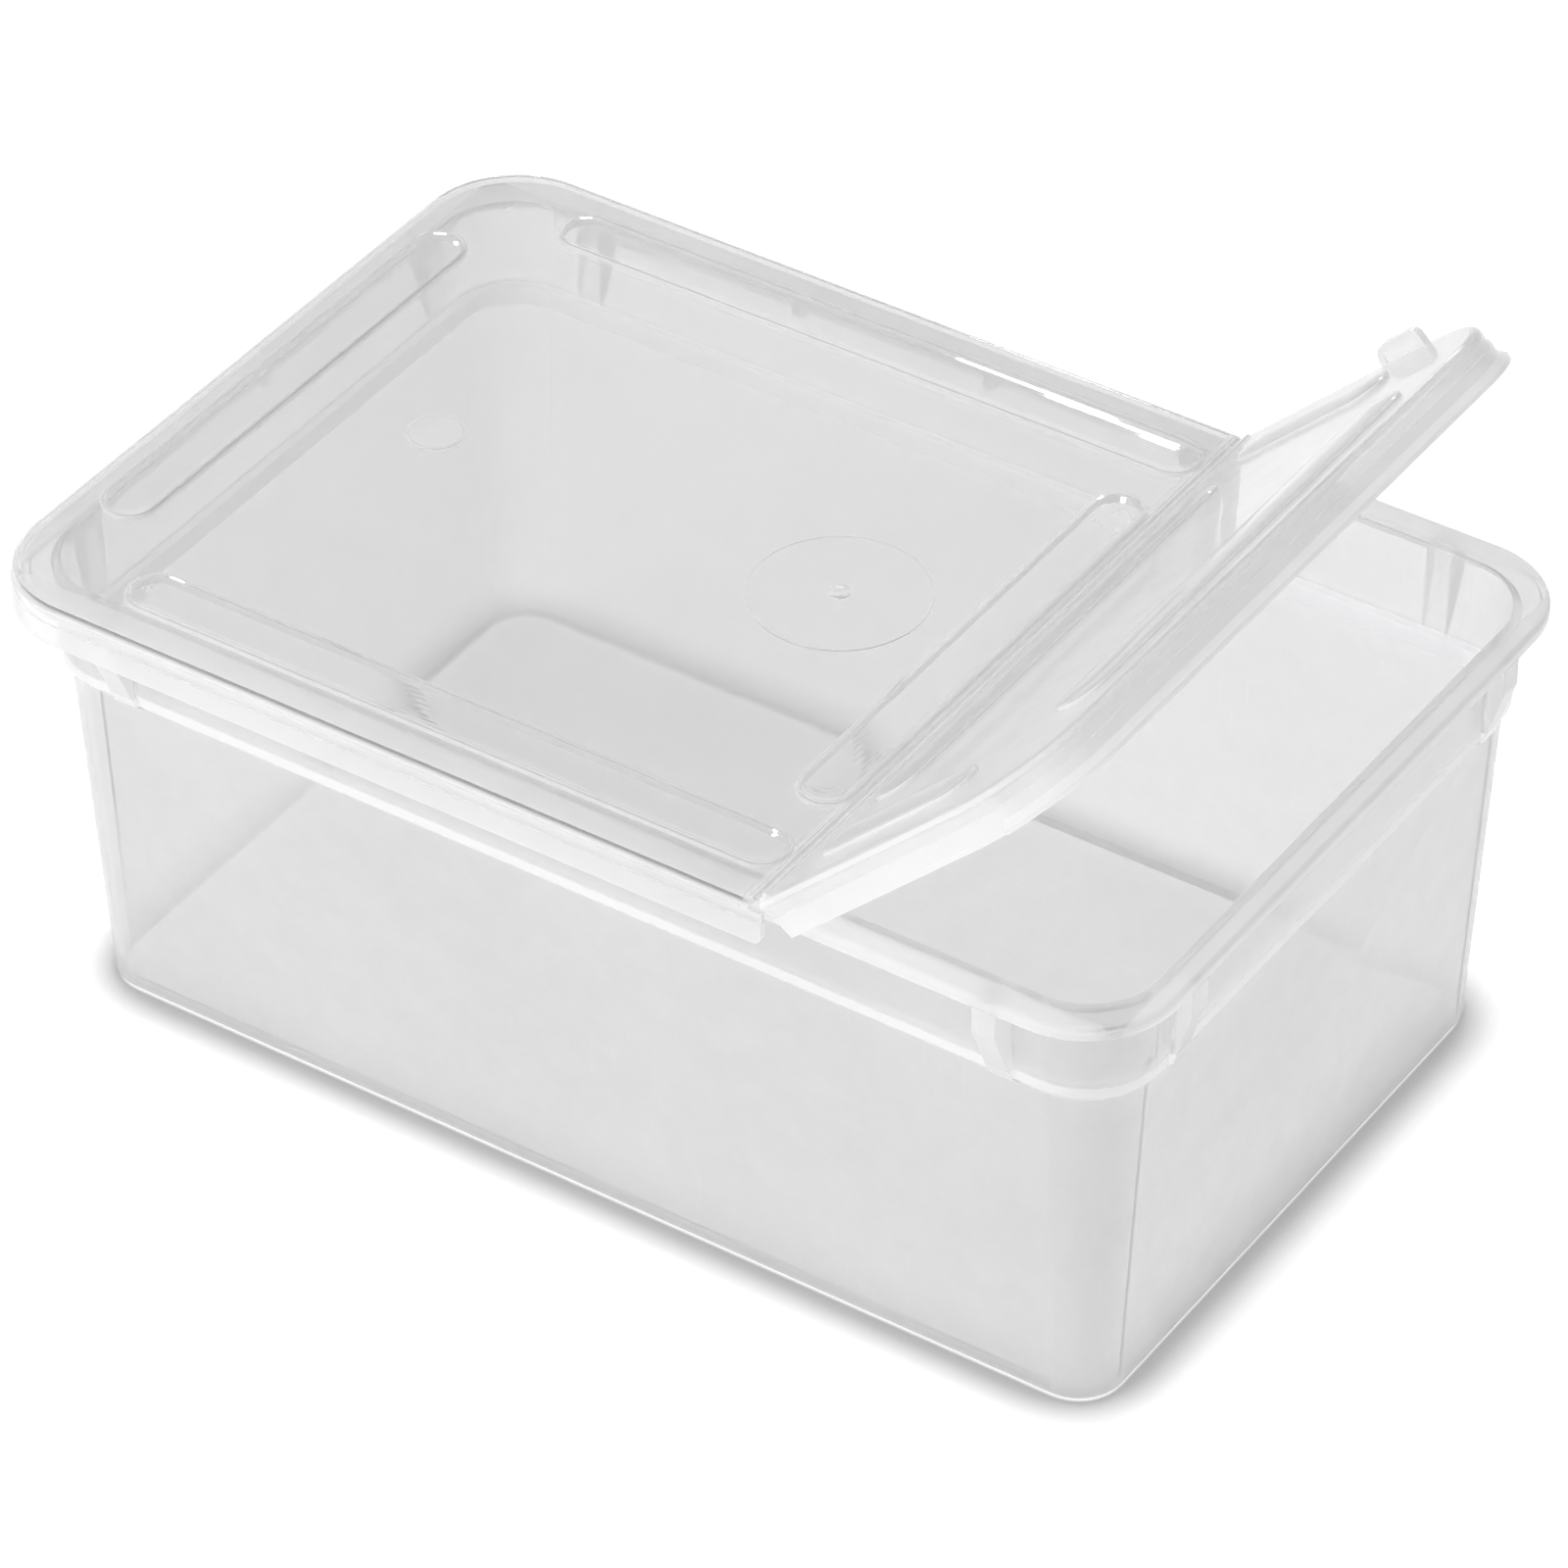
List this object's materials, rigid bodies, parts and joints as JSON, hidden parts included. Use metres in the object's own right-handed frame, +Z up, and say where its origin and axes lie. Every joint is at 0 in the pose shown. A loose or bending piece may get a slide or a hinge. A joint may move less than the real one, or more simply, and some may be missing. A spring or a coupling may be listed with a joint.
{
  "type": "plastic pet keeper",
  "caption": "Clear plastic small-animal box: drafted tub with a ribbed rim, lid with hollow raised ribs, and a hinged end flap shown part open.",
  "frame": {"origin": "centre of the flat base, on the table", "axes": "+X along the box toward the flap end, +Y across the box, +Z up"},
  "size_m": [0.1885, 0.1262, 0.1148],
  "materials": {
    "tub_clear": "slightly milky clear polypropylene",
    "lid_clear": "slightly milky clear polypropylene",
    "hinge_clear": "thin clear polypropylene web",
    "flap_clear": "slightly milky clear polypropylene"
  },
  "bodies": {
    "tub": {"tub": "tub_clear"},
    "lid": {"lid_panel": "lid_clear", "living_hinge": "hinge_clear"},
    "flap": {"flap": "flap_clear"}
  },
  "joints": [
    {"name": "lid_lift", "type": "slide", "parent": "tub", "child": "lid", "axis": [0, 0, 1], "range_m": [0, 0.03]},
    {"name": "flap_hinge", "type": "hinge", "parent": "lid", "child": "flap", "pos_m": [0.0372, 0, 0.07522], "axis": [0, -1, 0], "range_deg": [-44, 66]}
  ]
}
